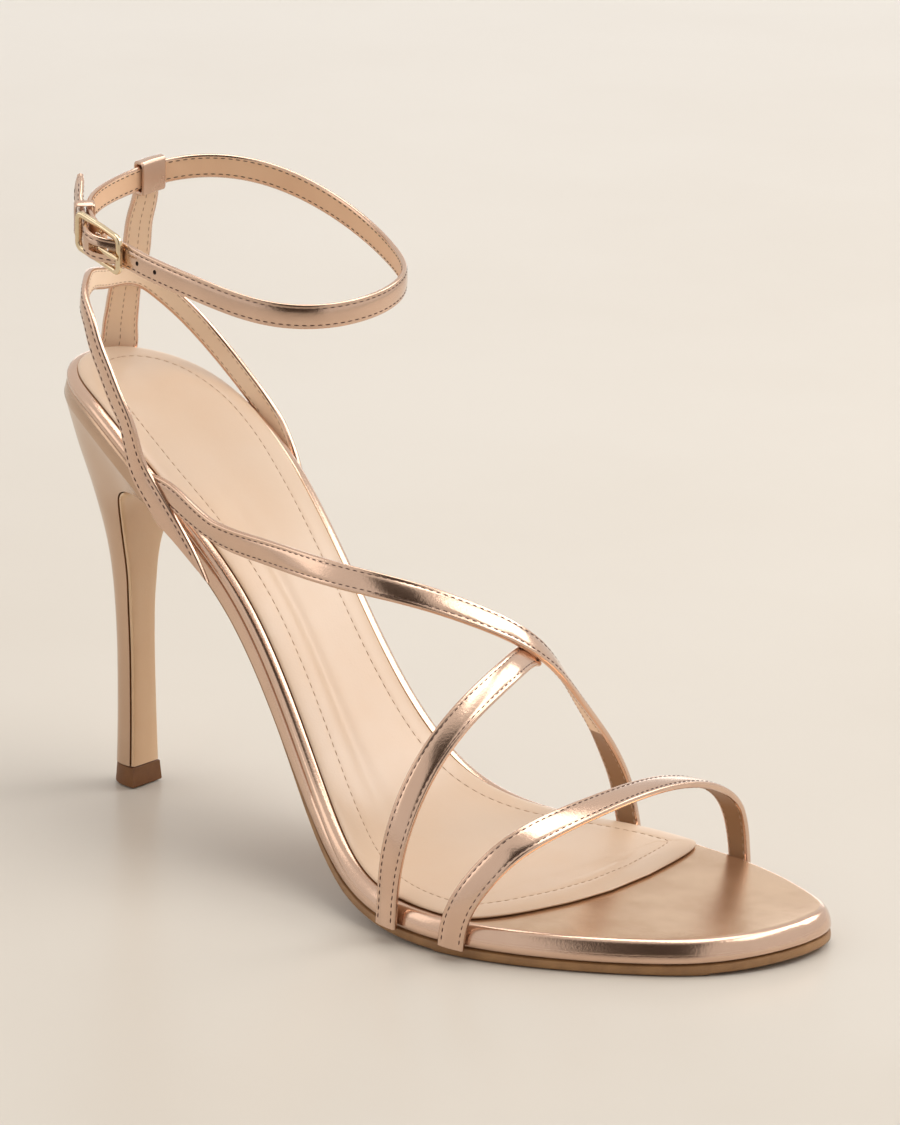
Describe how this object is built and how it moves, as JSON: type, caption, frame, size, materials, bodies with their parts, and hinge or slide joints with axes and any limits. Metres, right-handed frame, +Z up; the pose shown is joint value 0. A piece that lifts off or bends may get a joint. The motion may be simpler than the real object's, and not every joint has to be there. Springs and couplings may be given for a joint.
{
  "type": "strappy stiletto sandal",
  "caption": "Open-toe strappy stiletto sandal for the right foot, with a slim high heel, metallic straps over a padded insole and a buckled ankle strap.",
  "frame": {"origin": "on the ground under the middle of the shoe's bounding box", "axes": "+X from the heel to the toe, +Y to the inner side of the foot, +Z up"},
  "size_m": [0.2197, 0.0872, 0.1559],
  "materials": {
    "metallic_leather": "rose gold foil, soft gloss",
    "insole_leather": "matt nude lining leather",
    "breast_leather": "satin tan",
    "outsole_leather": "stained leather edge",
    "tip_rubber": "brown top piece",
    "buckle_metal": "polished pale gold plating",
    "keeper_leather": "pale pink metallic"
  },
  "bodies": {
    "root": {"insole_board": "metallic_leather", "sole_wall": "metallic_leather", "outsole": "outsole_leather", "insole": "insole_leather", "heel": "metallic_leather", "heel_breast": "breast_leather", "heel_tip": "tip_rubber", "upper": "metallic_leather", "toe_strap": "metallic_leather", "ankle_strap": "metallic_leather", "keeper": "keeper_leather", "buckle_frame": "buckle_metal", "buckle_prong": "buckle_metal"}
  },
  "joints": []
}
